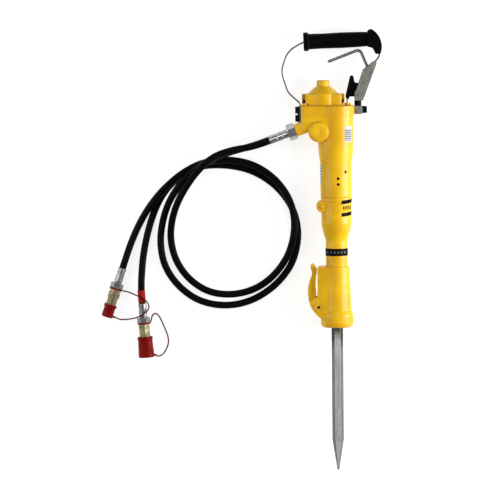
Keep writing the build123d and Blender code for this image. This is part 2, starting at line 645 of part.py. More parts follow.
HOSE_A_ROUTE = [
    port_point(HOSE_EXIT, PORT_Z[0]), port_point(HOSE_EXIT + 38, PORT_Z[0]),
    (-229, -62, 54), (-272, -77, 57), (-306, -109, 57), (-331, -144, 51), (-351, -181, 38),
    (-363, -222, 21), (-366, -262, 9.5), (-355, -308, FLOOR_HOSE), (-328, -348, FLOOR_HOSE),
    (-286, -378, FLOOR_HOSE), (-234, -386, FLOOR_HOSE), (-183, -375, FLOOR_HOSE), (-142, -348, 9),
    (-110.5, -307, 19), (-95, -264, 29), (-91, -221, 33), (-99, -180, 33), (-121, -142, 28),
    (-153, -112, 24), (-193, -91.5, 22), (-243, -84, 22), (-294, -90, 25),
    (-340, -114, 27), (-382, -150.5, 25.5), (-413, -189.5, 17), (-437, -231, FLOOR_HOSE),
    (-454.5, -272, 10.5), on_coupling(COUPLING_A, DIR_A, -20, 0, COUPLING_A[2]), COUPLING_A]

HOSE_B_ROUTE = [
    port_point(HOSE_EXIT, PORT_Z[1]), port_point(HOSE_EXIT + 38, PORT_Z[1]),
    (-230, -66.5, 32), (-276, -83.5, 40.5), (-315, -110, 41), (-346, -141, 34), (-370, -180, 21),
    (-384, -225, 10), (-389, -272, FLOOR_HOSE), (-379, -323, FLOOR_HOSE), (-348, -367, FLOOR_HOSE),
    (-304, -399, FLOOR_HOSE), (-246, -410.5, FLOOR_HOSE), (-189, -400, FLOOR_HOSE),
    (-138, -368.5, FLOOR_HOSE), (-102, -326, FLOOR_HOSE), (-87, -285, FLOOR_HOSE), (-83, -240, FLOOR_HOSE),
    (-95, -193, FLOOR_HOSE), (-124, -151.5, FLOOR_HOSE), (-159, -123.5, FLOOR_HOSE),
    (-197, -105.5, FLOOR_HOSE), (-247, -96.5, FLOOR_HOSE), (-299, -98.5, FLOOR_HOSE),
    (-344, -120, FLOOR_HOSE), (-377.5, -154, FLOOR_HOSE), (-398, -191, FLOOR_HOSE),
    (-412, -231, FLOOR_HOSE), (-421.5, -270, FLOOR_HOSE), (-427, -303, 9), (-430, -336, 14.5),
    on_coupling(COUPLING_B, DIR_B, -32, 0, COUPLING_B[2]), COUPLING_B]


def route_radii(points):
    """Radius of the arc at each inner point: as large as its two runs allow."""
    radii = []
    for before, here, after in zip(points, points[1:], points[2:]):
        run_in = Vector(*here) - Vector(*before)
        run_out = Vector(*after) - Vector(*here)
        turn = math.radians(run_in.get_angle(run_out))
        radii.append(0.45 * min(run_in.length, run_out.length) / math.tan(turn / 2))
    return radii


def cord(name, points, radius):
    """Plain tube along a route of straight runs and tangent arcs."""
    radii = route_radii(points)
    path = FilletPolyline(*points, radius=radii)
    runs = [(Vector(*b) - Vector(*a)).length for a, b in zip(points, points[1:])]
    tube = sweep(Plane(origin=path @ 0, z_dir=path % 0) * Circle(radius), path=path)
    ratio = tube.volume / (math.pi * radius ** 2 * path.length)
    print(f"{name}: length {path.length:.0f}, volume ratio {ratio:.4f}")
    print("  radii", [round(value) for value in radii])
    print("  runs", [round(value) for value in runs])
    return tube


def coupling_ferrule(start, direction, length):
    """Crimped ferrule at the far end of a hose."""
    outline = [(0, 0), (8.4, 0), (8.9, 1), (8.9, 9), (8.2, 10), (8.2, 12), (8.9, 13), (8.9, length - 4),
               (7.6, length - 2), (7.6, length), (0, length)]
    return turned(start, direction, outline)


def coupling_nut(start, direction, begin):
    """Hexagon of a coupling."""
    nut = hexagon(start, direction, 25, begin, begin + 11.5)
    dressed = turned(start, direction, [(0, begin), (12.7, begin), (14.4, begin + 1.5), (14.4, begin + 10),
                                        (12.7, begin + 11.5), (0, begin + 11.5)])
    return nut & dressed


def lanyard_ring(start, direction, begin):
    """Red ring of the dust cap's lanyard, behind the coupling's nut."""
    return turned(start, direction, [(9, begin), (14.3, begin), (14.3, begin + 2.5), (9, begin + 2.5)])


def female_coupling(start, direction):
    """Body of the socket half: neck, shoulder and nose under the dust cap."""
    outline = [(0, 46.5), (8.9, 46.5), (8.9, 49), (12.4, 49), (12.9, 49.5), (12.9, 52),
               (SLEEVE_SEAT_R, 52.5), (SLEEVE_SEAT_R, 69), (10.9, 69.5), (10.9, 81), (9.6, 82), (9.6, 104),
               (8.6, 105), (7, 105), (7, 84), (0, 84)]
    return turned(start, direction, outline)


def coupling_sleeve(start, direction):
    """Grooved locking sleeve that is drawn back to open the coupling."""
    outline = [(SLEEVE_SEAT_R + FIT, 56.5), (12.3, 56.5), (12.9, 57.3), (12.9, 60)]
    for groove in (60.5, 63.0, 65.5):
        outline += [(12.4, groove), (12.4, groove + 0.8), (12.9, groove + 1.3)]
    outline += [(12.9, 68.2), (12.3, 68.9), (SLEEVE_SEAT_R + FIT, 68.9)]
    return turned(start, direction, outline)


def male_coupling(start, direction):
    """Body of the plug half: hexagon with an edge on top, and nose under the dust cap."""
    outline = [(0, 43), (8.9, 43), (8.9, 45.5), (NOSE_R, 73), (NOSE_R, 92), (8, 94), (8, 100), (5.5, 100),
               (5.5, 79), (0, 79)]
    plane = Plane(origin=start, x_dir=(0, 0, 1), z_dir=direction) * Pos(0, 0, 45.5)
    hexagonal = plane * extrude(RegularPolygon(11.4, 6, major_radius=False), 24)
    dressing = [(0, 45.5), (11.6, 45.5), (12.6, 47), (12.6, 68), (11.6, 69.5), (0, 69.5)]
    shoulder = rod(start, direction, 11.4, 69.5, 73)
    return turned(start, direction, outline) + (hexagonal & turned(start, direction, dressing)) + shoulder


def poppet(start, direction, bore, begin, end):
    """Flat-faced valve poppet in a coupling's nose."""
    outline = [(0, begin), (bore - FIT, begin), (bore - FIT, end - 1), (bore - 1, end), (0, end)]
    return turned(start, direction, outline)


def dust_cap(start, direction, outline, tail_along, tail_right):
    """Soft cap with a rim, and a tapered tail on its right that runs out into the lanyard."""
    root = on_coupling(start, direction, tail_along, tail_right - TAIL_LENGTH, start[2] - TAIL_DROP)
    plane = Plane(origin=root, z_dir=(-direction[1], direction[0], 0))
    return turned(start, direction, outline) + plane * Cone(3.2, LANYARD_R + 0.2, TAIL_LENGTH, align=START)


def dust_cap_a():
    """Cap of the socket half."""
    outline = [(0, 113), (11.3, 113), (12.4, 111.5), (12.2, 92), (14, 90), (14, 85), (13, 84),
               (9.6 + GAP, 84), (9.6 + GAP, 107), (0, 107)]
    return dust_cap(COUPLING_A, DIR_A, outline, 109, 19)


def dust_cap_b():
    """Cap of the plug half."""
    outline = [(0, 119.5), (16.2, 119.5), (17.6, 118), (17.2, 112), (15.8, 82), (16.8, 80.5), (16.8, 75),
               (15.8, 74), (NOSE_R + GAP, 74), (NOSE_R + GAP, 103), (0, 103)]
    return dust_cap(COUPLING_B, DIR_B, outline, 116.2, 21.7)


def marker_sleeve():
    """Red marking sleeve on hose B."""
    return rod(COUPLING_B, DIR_B, 8.4, -29, -3) - rod(COUPLING_B, DIR_B, HOSE_R + 0.1, -30, 0)


LANYARD_FLOOR = LANYARD_R + 0.1

LANYARD_A_ROUTE = [
    on_coupling(COUPLING_A, DIR_A, 109, 20.4, COUPLING_A[2] - TAIL_DROP), (-479.5, -434.8, 6),
    (-467, -434.3, LANYARD_FLOOR), (-455, -432.8, 8), (-446, -430.8, 23), (-437, -428, 31.5),
    (-424, -422.5, 31.5), (-414.5, -413, 24), (-415, -401.5, 22), (-423, -391.5, 31), (-438.5, -383.5, 31),
    (-452, -378, 20), (-463.5, -374.5, 14), on_coupling(COUPLING_A, DIR_A, 47.7, 14.2, 13)]

LANYARD_B_ROUTE = [
    on_coupling(COUPLING_B, DIR_B, 44.2, 14.2, 14), (-409, -434, 9), (-406.5, -424, 4.5),
    (-400.5, -417, 1.8), (-392, -417, LANYARD_FLOOR), (-387, -425.5, LANYARD_FLOOR),
    (-382.5, -441, LANYARD_FLOOR), (-374, -460, LANYARD_FLOOR), (-369, -475, LANYARD_FLOOR),
    (-368.5, -490, LANYARD_FLOOR), (-374, -504.5, 2.5), (-383, -514, 6), (-391, -516.3, 11),
    on_coupling(COUPLING_B, DIR_B, 116.2, 22.6, COUPLING_B[2] - TAIL_DROP)]


def main():
    """Make and save every sub-part."""
    os.makedirs("parts", exist_ok=True)
    leaf = cut_leaf_holes(leaf_spring())
    far_a = (COUPLING_A, DIR_A)
    far_b = (COUPLING_B, DIR_B)
    parts = {
        "cylinder_body": cut_plug_seal_seat(cylinder_body()),
        "gauge_plugs": gauge_plugs(),
        "head_plate": head_plate(),
        "accumulator_cap": accumulator_cap(),
        "accumulator_bolts": accumulator_bolts(),
        "accumulator_knob": accumulator_knob(),
        "accumulator_diaphragm": accumulator_diaphragm(),
        "side_plug": side_plug(),
        "plug_seal": plug_seal(),
        "front_body": front_body(),
        "lug_screw": lug_screw(),
        "neck_band": neck_band(),
        "piston_guide": piston_guide(),
        "upper_bushing": upper_bushing(),
        "piston": piston(),
        "piston_seals": piston_seals(),
        "distributor_spool": distributor_spool(),
        "moil_point": moil_point(),
        "nose_housing": nose_housing(),
        "front_ring": front_ring(),
        "retainer_latch": retainer_latch(),
        "latch_pin": latch_pin(),
        "leaf_spring": leaf,
        "leaf_clamp": leaf_clamp(),
        "leaf_bolts": leaf_bolts(),
        "grip": grip(leaf),
        "handle_bracket": handle_bracket(),
        "bracket_foot": bracket_foot(),
        "bracket_isolator": bracket_isolator(),
        "bracket_stud": bracket_stud(),
        "foot_bolt": foot_bolt(),
        "trigger_lever": trigger_lever(),
        "trigger_pin": trigger_pin(),
        "valve_rocker": valve_rocker(),
        "rocker_pin": rocker_pin(),
        "trigger_spool": trigger_spool(),
        "spool_spring": spool_spring(),
        "port_adapters": port_adapters(),
        "tool_end_nuts": tool_end_nuts(),
        "tool_end_ferrules": tool_end_ferrules(),
        "hose_a": cord("hose_a", HOSE_A_ROUTE, HOSE_R),
        "hose_b": cord("hose_b", HOSE_B_ROUTE, HOSE_R),
        "coupling_ferrule_a": coupling_ferrule(*far_a, 34.5),
        "coupling_nut_a": coupling_nut(*far_a, 34.5),
        "lanyard_ring_a": lanyard_ring(*far_a, 46.5),
        "coupling_body_a": female_coupling(*far_a),
        "coupling_sleeve_a": coupling_sleeve(*far_a),
        "coupling_poppet_a": poppet(*far_a, 7, 92, 104.8),
        "dust_cap_a": dust_cap_a(),
        "marker_sleeve": marker_sleeve(),
        "coupling_ferrule_b": coupling_ferrule(*far_b, 31.5),
        "coupling_nut_b": coupling_nut(*far_b, 31.5),
        "lanyard_ring_b": lanyard_ring(*far_b, 43),
        "coupling_body_b": male_coupling(*far_b),
        "coupling_poppet_b": poppet(*far_b, 5.5, 87, 99.8),
        "dust_cap_b": dust_cap_b(),
        "lanyard_a": cord("lanyard_a", LANYARD_A_ROUTE, LANYARD_R),
        "lanyard_b": cord("lanyard_b", LANYARD_B_ROUTE, LANYARD_R),
    }
    for name, shape in parts.items():
        save(shape, name)


main()
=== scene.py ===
import math
import bmesh
import bpy
from mathutils import Matrix, Vector

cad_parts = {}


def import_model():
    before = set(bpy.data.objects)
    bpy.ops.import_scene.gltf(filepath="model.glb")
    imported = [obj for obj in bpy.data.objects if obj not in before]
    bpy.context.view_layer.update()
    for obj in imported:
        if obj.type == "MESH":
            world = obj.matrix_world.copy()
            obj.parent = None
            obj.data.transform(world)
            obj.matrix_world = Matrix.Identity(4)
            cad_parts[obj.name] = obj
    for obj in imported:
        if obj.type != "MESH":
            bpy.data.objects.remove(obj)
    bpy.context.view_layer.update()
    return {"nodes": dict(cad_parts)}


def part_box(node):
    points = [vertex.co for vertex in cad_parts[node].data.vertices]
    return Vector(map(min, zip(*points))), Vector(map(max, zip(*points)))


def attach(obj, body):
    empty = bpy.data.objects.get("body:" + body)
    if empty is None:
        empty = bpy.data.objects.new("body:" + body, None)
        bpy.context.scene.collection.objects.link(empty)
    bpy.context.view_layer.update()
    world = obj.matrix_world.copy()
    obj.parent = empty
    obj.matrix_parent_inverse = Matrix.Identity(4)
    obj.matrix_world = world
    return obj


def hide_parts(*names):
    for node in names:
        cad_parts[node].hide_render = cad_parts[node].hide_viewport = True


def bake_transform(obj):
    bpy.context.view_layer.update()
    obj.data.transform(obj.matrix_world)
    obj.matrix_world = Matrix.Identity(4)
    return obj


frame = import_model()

MM = 0.001


# ---------------------------------------------------------------- node helpers

class Material:
    """One procedural material, built node by node."""

    def __init__(self, name, colour, roughness, metallic=0.0, **sockets):
        self.material = bpy.data.materials.new(name)
        self.material.use_nodes = True
        self.tree = self.material.node_tree
        self.shader = self.tree.nodes["Principled BSDF"]
        self.place = self.add("ShaderNodeTexCoord").outputs["Object"]
        self.set(self.shader, "Base Color", (*colour, 1.0))
        self.set(self.shader, "Roughness", roughness)
        self.set(self.shader, "Metallic", metallic)
        for socket, value in sockets.items():
            self.set(self.shader, socket.replace("_", " "), value)

    def add(self, kind, **properties):
        node = self.tree.nodes.new(kind)
        for name, value in properties.items():
            setattr(node, name, value)
        return node

    def set(self, node, socket, value):
        """Links a socket to another node's output, or gives it a constant."""
        target = node.inputs[socket]
        if isinstance(value, bpy.types.NodeSocket):
            self.tree.links.new(value, target)
        else:
            target.default_value = value

    def noise(self, scale, detail=4.0, roughness=0.55, distortion=0.0, stretch=None):
        """Noise over the object's own coordinates; scale is in cycles per metre."""
        node = self.add("ShaderNodeTexNoise")
        for socket, value in (("Scale", scale), ("Detail", detail), ("Roughness", roughness),
                              ("Distortion", distortion)):
            self.set(node, socket, value)
        self.set(node, "Vector", self.stretched(stretch) if stretch else self.place)
        return node.outputs["Fac"]

    def stretched(self, factors):
        """The object's own coordinates, scaled along each axis."""
        node = self.add("ShaderNodeMapping")
        self.set(node, "Vector", self.place)
        node.inputs["Scale"].default_value = factors
        return node.outputs["Vector"]

    def axis(self, index):
        """One of the object's own coordinates, in metres: 0, 1 or 2 for X, Y or Z."""
        node = self.add("ShaderNodeSeparateXYZ")
        self.set(node, 0, self.place)
        return node.outputs[index]

    def maths(self, operation, a, b=0.0):
        node = self.add("ShaderNodeMath", operation=operation)
        self.set(node, 0, a)
        self.set(node, 1, b)
        return node.outputs[0]

    def between(self, value, low, high, to_low=0.0, to_high=1.0):
        """Maps a value smoothly from one range to another."""
        node = self.add("ShaderNodeMapRange", interpolation_type="SMOOTHSTEP")
        self.set(node, "Value", value)
        for socket, number in (("From Min", low), ("From Max", high),
                               ("To Min", to_low), ("To Max", to_high)):
            self.set(node, socket, number)
        return node.outputs["Result"]

    def mix(self, factor, first, second):
        """Blends two colours: 0 gives the first, 1 the second."""
        node = self.add("ShaderNodeMix", data_type="RGBA")
        self.set(node, 0, factor)
        for socket, value in ((6, first), (7, second)):
            self.set(node, socket, value if isinstance(value, bpy.types.NodeSocket) else (*value, 1.0))
        return node.outputs[2]

    def edges(self, radius):
        """Mask of the sharp edges: where a rounded normal leaves the true one."""
        rounded = self.add("ShaderNodeBevel", samples=6)
        self.set(rounded, "Radius", radius)
        true = self.add("ShaderNodeNewGeometry")
        dot = self.add("ShaderNodeVectorMath", operation="DOT_PRODUCT")
        self.set(dot, 0, rounded.outputs["Normal"])
        self.set(dot, 1, true.outputs["Normal"])
        return self.between(dot.outputs["Value"], 0.995, 0.90)

    def bump(self, height, strength, distance, soften=None):
        """Bump from a height; soften is the radius in metres that sharp edges are rounded by."""
        node = self.add("ShaderNodeBump")
        self.set(node, "Height", height)
        self.set(node, "Strength", strength)
        self.set(node, "Distance", distance)
        if soften:
            rounded = self.add("ShaderNodeBevel", samples=6)
            self.set(rounded, "Radius", soften)
            self.set(node, "Normal", rounded.outputs["Normal"])
        self.set(self.shader, "Normal", node.outputs["Normal"])

    def colour(self, value):
        self.set(self.shader, "Base Color", value)

    def rough(self, value):
        self.set(self.shader, "Roughness", value)


# ---------------------------------------------------------------- materials

YELLOW = (0.70, 0.392, 0.005)
PALE_YELLOW = (0.82, 0.52, 0.009)
DEEP_YELLOW = (0.60, 0.29, 0.005)
BARE_STEEL = (0.30, 0.29, 0.27)
GRIME = (0.12, 0.085, 0.03)


def paint(name, cast):
    """Thick yellow enamel with orange peel, grime in patches and worn edges.
    cast is how much sand texture the casting below shows."""
    m = Material(name, YELLOW, 0.34, Specular_IOR_Level=0.16, Coat_Weight=0.10, Coat_Roughness=0.16)
    tone = m.noise(18, 3)
    coat = m.mix(m.between(tone, 0.35, 0.65), DEEP_YELLOW, PALE_YELLOW)
    coat = m.mix(0.62, coat, YELLOW)
    dirt = m.maths("MULTIPLY", m.between(m.noise(55, 8, 0.7, 0.4), 0.60, 0.78), 0.35)
    coat = m.mix(dirt, coat, GRIME)
    breaks = m.between(m.noise(420, 5, 0.7), 0.50, 0.60)
    chips = m.maths("MULTIPLY", m.maths("MULTIPLY", m.edges(0.0009), breaks), 0.75)
    specks = m.maths("MULTIPLY", m.between(m.noise(900, 2, 0.5), 0.735, 0.76), 0.6)
    bare = m.maths("MAXIMUM", chips, specks)
    m.colour(m.mix(bare, coat, BARE_STEEL))
    gloss = m.between(m.noise(70, 4), 0.35, 0.7, 0.24, 0.42)
    m.rough(m.maths("ADD", gloss, m.maths("MULTIPLY", bare, 0.2)))
    peel = m.noise(900, 2, 0.4)
    sand = m.noise(260, 5, 0.6)
    relief = m.maths("ADD", m.maths("MULTIPLY", peel, 0.35), m.maths("MULTIPLY", sand, cast))
    m.bump(relief, 0.35, 0.0006, 0.0012)
    return m.material


def rubber(name, colour, roughness, grain):
    """Moulded rubber with a fine grain, dusty patches and rubbed patches."""
    m = Material(name, colour, roughness, Specular_IOR_Level=0.04)
    dusty = tuple(c * 2.0 + 0.001 for c in colour)
    m.colour(m.mix(m.between(m.noise(60, 6, 0.65), 0.48, 0.75), colour, dusty))
    m.rough(m.between(m.noise(140, 4), 0.3, 0.7, roughness - 0.08, roughness + 0.10))
    m.bump(m.noise(grain, 3, 0.5), 0.25, 0.0004)
    return m.material


def hose_cover(name):
    """Smooth wrapped hose cover with a faint weave underneath and scuffs along it."""
    black = (0.002, 0.002, 0.0022)
    m = Material(name, black, 0.42, Specular_IOR_Level=0.035)
    scuff = m.between(m.noise(120, 8, 0.7, 0.6), 0.58, 0.75)
    m.colour(m.mix(m.maths("MULTIPLY", scuff, 0.5), black, (0.014, 0.0135, 0.013)))
    sheen = m.between(m.noise(45, 3), 0.3, 0.7, 0.36, 0.50)
    m.rough(m.maths("ADD", sheen, m.maths("MULTIPLY", scuff, 0.18)))
    weave = m.add("ShaderNodeTexWave", wave_type="BANDS", bands_direction="DIAGONAL")
    m.set(weave, "Scale", 260.0)
    m.set(weave, "Distortion", 0.6)
    m.set(weave, "Vector", m.place)
    m.bump(m.maths("ADD", m.maths("MULTIPLY", weave.outputs["Fac"], 0.3), m.noise(700, 3)), 0.10, 0.0003)
    return m.material


def steel(name, colour, roughness, grain=(1, 1, 1), stain=0.4, edge=0.0006, polish=1.25):
    """Worked metal: directional grain, darker stains and rubbed edges that are brighter by polish."""
    m = Material(name, colour, roughness, 1.0)
    dark = tuple(c * 0.48 for c in colour)
    light = tuple(min(1.0, c * polish) for c in colour)
    stains = m.between(m.noise(85, 7, 0.65, 0.3), 0.42, 0.70)
    base = m.mix(m.maths("MULTIPLY", stains, stain), colour, dark)
    m.colour(m.mix(m.maths("MULTIPLY", m.edges(edge), 0.6), base, light))
    lines = m.noise(1400, 3, 0.6, stretch=grain)
    m.rough(m.between(m.noise(110, 5), 0.3, 0.7, roughness - 0.07, roughness + 0.10))
    m.bump(lines, 0.18, 0.0003, edge)
    return m.material


STEEL_TIP_Y = -0.773               # metres along the tool, like the next three
POINT_FADE_Y = (-0.700, -0.712)    # where the ground point begins
OIL_AND_SHADE_START_Y = -0.483
OIL_AND_SHADE_FULL_Y = -0.445
FLAT_HALF_WIDTH = 0.0064           # half of the hexagon's upper flat, in metres
FLAT_TAPER = 0.093                 # how fast that narrows towards the tip
FLANK_EDGE = 0.0004                # half of the change from flat to flank, in metres
OIL_AND_SHADE_RAGGEDNESS = 0.012             # metres
FLANK_OIL_AND_SHADE_REACH = 0.024            # how much further the painted shade and oil run on the flanks, in metres


def hexagon_steel(name):
    """Rolled hexagon bar with scale: painted light and shade make the upper flat lighter and the flanks
    darker, painted shade with oil darkens it near the nose, and the ground point is lighter in the middle
    with painted shade on its flanks.
    """
    m = Material(name, (0.42, 0.42, 0.40), 0.38, 1.0)
    y = m.axis(1)
    narrowing = m.maths("MULTIPLY", m.maths("ADD", y, -STEEL_TIP_Y), FLAT_TAPER)
    flat_half = m.maths("MINIMUM", narrowing, FLAT_HALF_WIDTH)
    beyond = m.maths("SUBTRACT", m.maths("ABSOLUTE", m.axis(0)), flat_half)
    flank = m.between(beyond, -FLANK_EDGE, FLANK_EDGE)
    scale = m.between(m.noise(70, 8, 0.7, 0.5, stretch=(1, 0.25, 1)), 0.40, 0.68)
    # painted light and shade: the upper flat gets a lit colour and the flanks a shaded one; the scale noise
    # varies the tone within each
    top = m.mix(scale, (0.67, 0.675, 0.64), (0.51, 0.51, 0.48))
    side = m.mix(scale, (0.185, 0.185, 0.177), (0.13, 0.13, 0.122))
    base = m.mix(flank, top, side)
    # painted shade with oil: the steel turns dark towards the nose, sooner on the flanks
    ragged = m.maths("MULTIPLY", m.noise(50, 4), OIL_AND_SHADE_RAGGEDNESS)
    reach = m.maths("ADD", ragged, m.maths("MULTIPLY", flank, FLANK_OIL_AND_SHADE_REACH))
    oil_and_shade = m.between(m.maths("ADD", y, reach), OIL_AND_SHADE_START_Y, OIL_AND_SHADE_FULL_Y)
    base = m.mix(oil_and_shade, base, (0.035, 0.032, 0.03))
    ground = m.between(y, *POINT_FADE_Y)
    # painted light and shade on the ground point: a lighter middle and darker flanks
    point = m.mix(flank, (0.60, 0.595, 0.57), (0.22, 0.218, 0.206))
    base = m.mix(m.maths("MULTIPLY", ground, 0.8), base, point)
    base = m.mix(m.maths("MULTIPLY", m.edges(0.0008), 0.7), base, (0.58, 0.575, 0.55))
    m.colour(base)
    rough = m.between(m.noise(200, 5), 0.3, 0.7, 0.40, 0.58)
    m.rough(m.maths("ADD", rough, m.maths("MULTIPLY", ground, 0.20)))
    grind = m.noise(900, 3, 0.6, stretch=(1, 0.12, 1))
    m.bump(grind, 0.25, 0.0004, 0.0008)
    return m.material


def plastic(name, colour, roughness):
    """Soft coloured plastic with handling marks and slight fading."""
    m = Material(name, colour, roughness, Specular_IOR_Level=0.06)
    faded = tuple(min(1.0, c * 1.35 + 0.003) for c in colour)
    deep = tuple(c * 0.65 for c in colour)
    base = m.mix(m.between(m.noise(40, 5), 0.35, 0.7), deep, faded)
    base = m.mix(0.55, base, colour)
    marks = m.between(m.noise(260, 8, 0.75), 0.62, 0.74)
    m.colour(m.mix(m.maths("MULTIPLY", marks, 0.35), base, (0.03, 0.012, 0.01)))
    m.rough(m.between(m.noise(120, 4), 0.3, 0.7, roughness - 0.08, roughness + 0.12))
    m.bump(m.noise(500, 3, 0.5), 0.15, 0.0003, 0.0006)
    return m.material


def printed(name, ground, ink, along, repeat, width, offset=0.0, within=None):
    """Label stock with plain bars across one axis: repeat bars a metre, each width of its pitch.
    A width of 0 leaves the stock plain. within is (axis, low, high): where the bars may show."""
    m = Material(name, ground, 0.45, Specular_IOR_Level=0.02)
    run = m.maths("MULTIPLY", m.maths("SUBTRACT", m.axis(along), offset), repeat)
    mark = m.maths("LESS_THAN", m.maths("FRACT", run), width)
    if within:
        index, low, high = within
        above = m.maths("GREATER_THAN", m.axis(index), low)
        below = m.maths("LESS_THAN", m.axis(index), high)
        mark = m.maths("MULTIPLY", mark, m.maths("MULTIPLY", above, below))
    rubbed = m.between(m.noise(600, 6, 0.7), 0.58, 0.66)
    base = m.mix(mark, ground, ink)
    faded = tuple(0.5 * (a + b) for a, b in zip(ground, ink))
    m.colour(m.mix(m.maths("MULTIPLY", rubbed, 0.35), base, faded))
    m.rough(m.between(m.noise(150, 4), 0.3, 0.7, 0.28, 0.45))
    m.bump(m.noise(800, 2), 0.08, 0.0002)
    return m.material


def dress(material, *names):
    """Gives CAD nodes a material."""
    for name in names:
        node = frame["nodes"][name]
        node.data.materials.clear()
        node.data.materials.append(material)
        for polygon in node.data.polygons:
            polygon.material_index = 0


RED = (0.165, 0.002, 0.001)
DARK_RED = (0.095, 0.001, 0.002)
MARKER_RED = (0.30, 0.010, 0.006)
PAINT = paint("enamel_cast", 0.55)
PAINT_SMOOTH = paint("enamel_turned", 0.20)
RED_PLASTIC = plastic("red_plastic", RED, 0.42)
LANYARD_PLASTIC = plastic("lanyard_plastic", DARK_RED, 0.45)
GOLD = steel("yellow_passivate", (0.285, 0.24, 0.142), 0.52, stain=0.9, edge=0.0005, polish=1.4)
ZINC = steel("zinc", (0.29, 0.30, 0.26), 0.42, stain=0.55)
FITTING = steel("fitting_zinc", (0.29, 0.29, 0.31), 0.38, stain=1.0)
BRIGHT_FITTING = steel("bright_fitting_zinc", (0.46, 0.46, 0.49), 0.16, stain=1.0, grain=(1, 1, 0.2))
BLACK_STEEL = steel("black_oxide", (0.013, 0.0125, 0.012), 0.45, polish=3.0)
BRONZE = steel("bronze", (0.50, 0.34, 0.15), 0.35)
INNER = steel("ground_steel", (0.55, 0.55, 0.54), 0.22, stain=0.2)
HOSE = hose_cover("hose_cover")
GRIP_RUBBER = rubber("grip_rubber", (0.001, 0.001, 0.001), 0.55, 620)
BLACK_RUBBER = rubber("black_rubber", (0.003, 0.003, 0.003), 0.55, 500)

dress(PAINT, "cylinder_body", "front_body", "nose_housing", "accumulator_cap", "head_plate")
dress(PAINT_SMOOTH, "accumulator_knob", "side_plug", "retainer_latch", "lug_screw")
dress(hexagon_steel("hexagon_steel"), "moil_point")
dress(steel("spring_strip", (0.13, 0.13, 0.135), 0.40, grain=(1, 1, 0.1), stain=0.3), "leaf_spring")
dress(ZINC, "handle_bracket", "bracket_foot", "bracket_stud", "rocker_pin")
dress(steel("lever_steel", (0.24, 0.24, 0.25), 0.25, stain=0.35), "trigger_lever")
dress(steel("pin_steel", (0.34, 0.34, 0.35), 0.32), "trigger_pin")
dress(BLACK_STEEL, "leaf_bolts", "leaf_clamp", "foot_bolt", "accumulator_bolts", "gauge_plugs", "latch_pin")
dress(BRONZE, "piston_guide", "upper_bushing", "front_ring")
dress(INNER, "piston", "distributor_spool", "trigger_spool", "spool_spring", "coupling_poppet_a",
      "coupling_poppet_b")
dress(plastic("seal_compound", (0.05, 0.12, 0.2), 0.5), "piston_seals")
dress(GRIP_RUBBER, "grip")
dress(BLACK_RUBBER, "valve_rocker", "bracket_isolator", "accumulator_diaphragm", "plug_seal")
dress(BRIGHT_FITTING, "port_adapters", "tool_end_nuts", "tool_end_ferrules")
dress(FITTING, "coupling_ferrule_a", "coupling_ferrule_b", "coupling_nut_a", "coupling_nut_b")
dress(GOLD, "coupling_body_a", "coupling_body_b", "coupling_sleeve_a")
dress(RED_PLASTIC, "dust_cap_a", "dust_cap_b", "lanyard_ring_a", "lanyard_ring_b")
dress(plastic("marker_red", MARKER_RED, 0.45), "marker_sleeve")
dress(printed("neck_print", (0.004, 0.004, 0.004), (0.13, 0.13, 0.125), along=0, repeat=130, width=0.4,
              offset=0.001, within=(1, -0.2910, -0.2868)), "neck_band")


# ---------------------------------------------------------------- camera, floor and light

VIEW_CENTRE = Vector((-190.5, -284.1, 30)) * MM
VIEW_WIDTH = 1.100                 # metres of the object's plane across the frame
VIEW_DISTANCE = 8.0
VIEW_TILT = math.radians(5.0)      # the camera stands this much towards the handle's end
VIEW_ROLL = math.radians(0.58)
SENSOR = 36.0
LIT_POINT = Vector((-0.15, -0.28, 0.03))
WHITE = (1.0, 1.0, 1.0, 1.0)
WORLD_STRENGTH = 0.30
FLOOR_GLOW = 0.78
FLOOR_SIZE = 12
FLOOR_CENTRE = (-0.2, -0.28, -0.0004)


def camera():
    """Long lens almost straight above, as in the photo."""
    data = bpy.data.cameras.new("camera")
    data.sensor_width = SENSOR
    data.lens = SENSOR * VIEW_DISTANCE / VIEW_WIDTH
    obj = bpy.data.objects.new("camera", data)
    bpy.context.collection.objects.link(obj)
    away = Vector((0, math.sin(VIEW_TILT), math.cos(VIEW_TILT)))
    turn = Matrix.Rotation(-VIEW_TILT, 4, "X") @ Matrix.Rotation(-VIEW_ROLL, 4, "Z")
    obj.matrix_world = Matrix.Translation(VIEW_CENTRE + away * VIEW_DISTANCE) @ turn
    bpy.context.scene.camera = obj


def area_light(name, place, size, power):
    """Soft light that faces the middle of the object; size is its width and height."""
    data = bpy.data.lights.new(name, "AREA")
    data.shape = "RECTANGLE"
    data.size, data.size_y = size
    data.energy = power
    obj = bpy.data.objects.new(name, data)
    obj.location = place
    obj.rotation_euler = (LIT_POINT - Vector(place)).to_track_quat("-Z", "Y").to_euler()
    bpy.context.collection.objects.link(obj)


def floor():
    """Plain pale floor that gives off a little light, like a lit studio table."""
    m = Material("floor", (0.35, 0.35, 0.35), 0.9, Emission_Color=WHITE, Emission_Strength=FLOOR_GLOW,
                 Specular_IOR_Level=0.0)
    m.colour(m.mix(m.noise(6, 3), (0.34, 0.34, 0.34), (0.36, 0.36, 0.36)))
    bpy.ops.mesh.primitive_plane_add(size=FLOOR_SIZE, location=FLOOR_CENTRE)
    plane = bpy.context.object
    plane.name = "floor"
    plane.data.materials.append(m.material)


def world():
    """Even white surroundings."""
    scene = bpy.context.scene
    scene.world = scene.world or bpy.data.worlds.new("world")
    scene.world.use_nodes = True
    background = scene.world.node_tree.nodes["Background"]
    background.inputs["Color"].default_value = WHITE
    background.inputs["Strength"].default_value = WORLD_STRENGTH
    scene.view_settings.view_transform = "Standard"


camera()
world()
floor()
area_light("key", place=(1.75, -0.2, 0.50), size=(0.8, 2.2), power=78)
area_light("top", place=(-0.2, 0.9, 2.2), size=(1.2, 1.2), power=9)
area_light("fill", place=(-1.7, -0.1, 0.7), size=(0.9, 2.2), power=19)


# ---------------------------------------------------------------- cords

